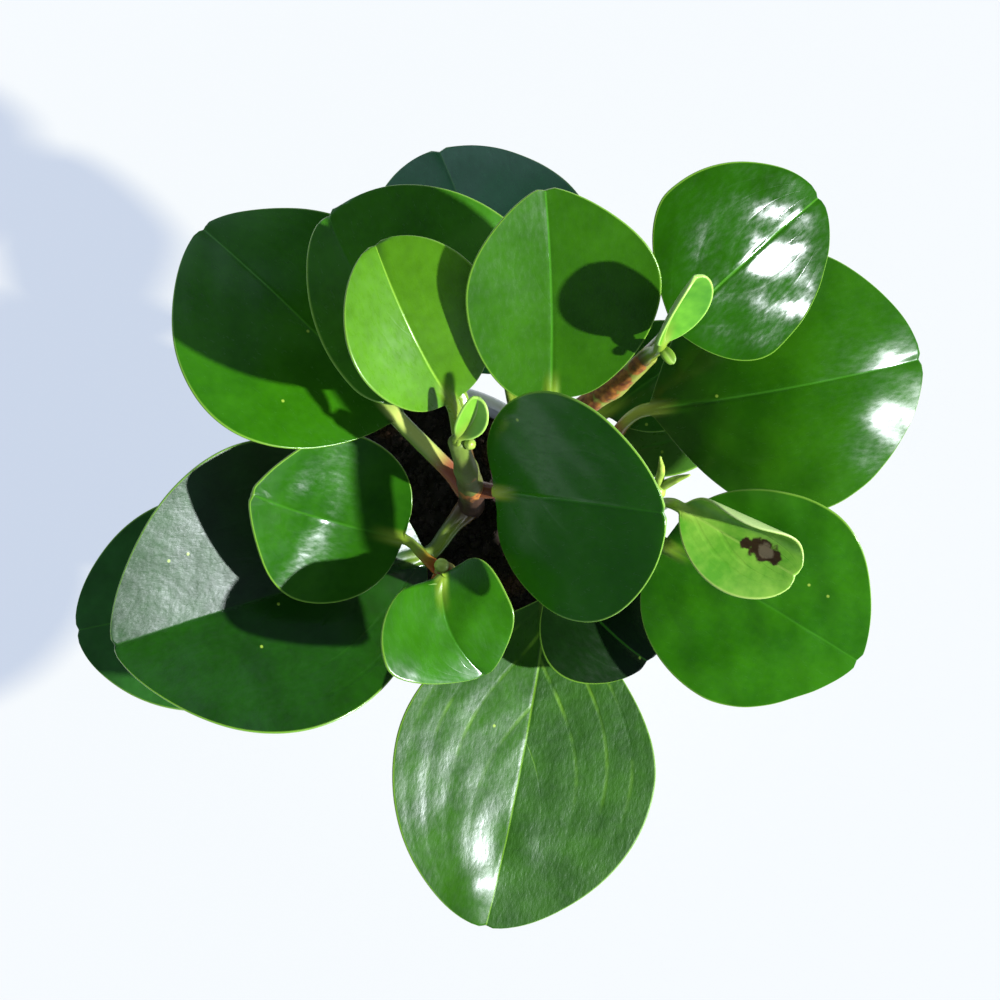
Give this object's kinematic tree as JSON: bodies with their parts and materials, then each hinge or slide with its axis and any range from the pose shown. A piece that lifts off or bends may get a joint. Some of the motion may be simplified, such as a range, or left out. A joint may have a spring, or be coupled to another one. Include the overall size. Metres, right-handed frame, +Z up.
{
  "type": "potted peperomia plant",
  "caption": "Small potted baby rubber plant with thick glossy spoon-shaped leaves on short stems, in a plain white tapered pot that stands on its flat foot.",
  "frame": {"origin": "middle of the pot's flat underside", "axes": "+Z up along the pot's axis; -Y towards the tip of the longest leaf, the front; +X to the right seen from the front"},
  "size_m": [0.214, 0.1986, 0.1659],
  "materials": {
    "leaf_green": "thick waxy leaf, glossy deep green with paler veins and margin",
    "stem_green_brown": "succulent stem, olive green turning reddish brown, semi-matte",
    "potting_soil": "moist dark potting soil with crumbs, matte",
    "white_glaze": "plain white glazed earthenware, smooth and glossy"
  },
  "bodies": {
    "root": {"pot": "white_glaze", "soil": "potting_soil", "stem_upper": "stem_green_brown", "stem_middle": "stem_green_brown", "stem_left": "stem_green_brown", "stem_right": "stem_green_brown", "leaf_front_large": "leaf_green", "leaf_left_large": "leaf_green", "leaf_left_small": "leaf_green", "leaf_front_small": "leaf_green", "leaf_front_low": "leaf_green", "leaf_centre": "leaf_green", "leaf_upper_left_young": "leaf_green", "leaf_upper_centre": "leaf_green", "leaf_upper_right": "leaf_green", "leaf_right_large": "leaf_green", "leaf_right_lower": "leaf_green", "leaf_left_upper": "leaf_green", "leaf_upper_left_dark": "leaf_green", "leaf_back_low": "leaf_green", "leaf_left_low": "leaf_green", "leaf_right_under": "leaf_green", "leaf_right_back": "leaf_green", "leaf_right_curled": "leaf_green"}
  },
  "joints": []
}
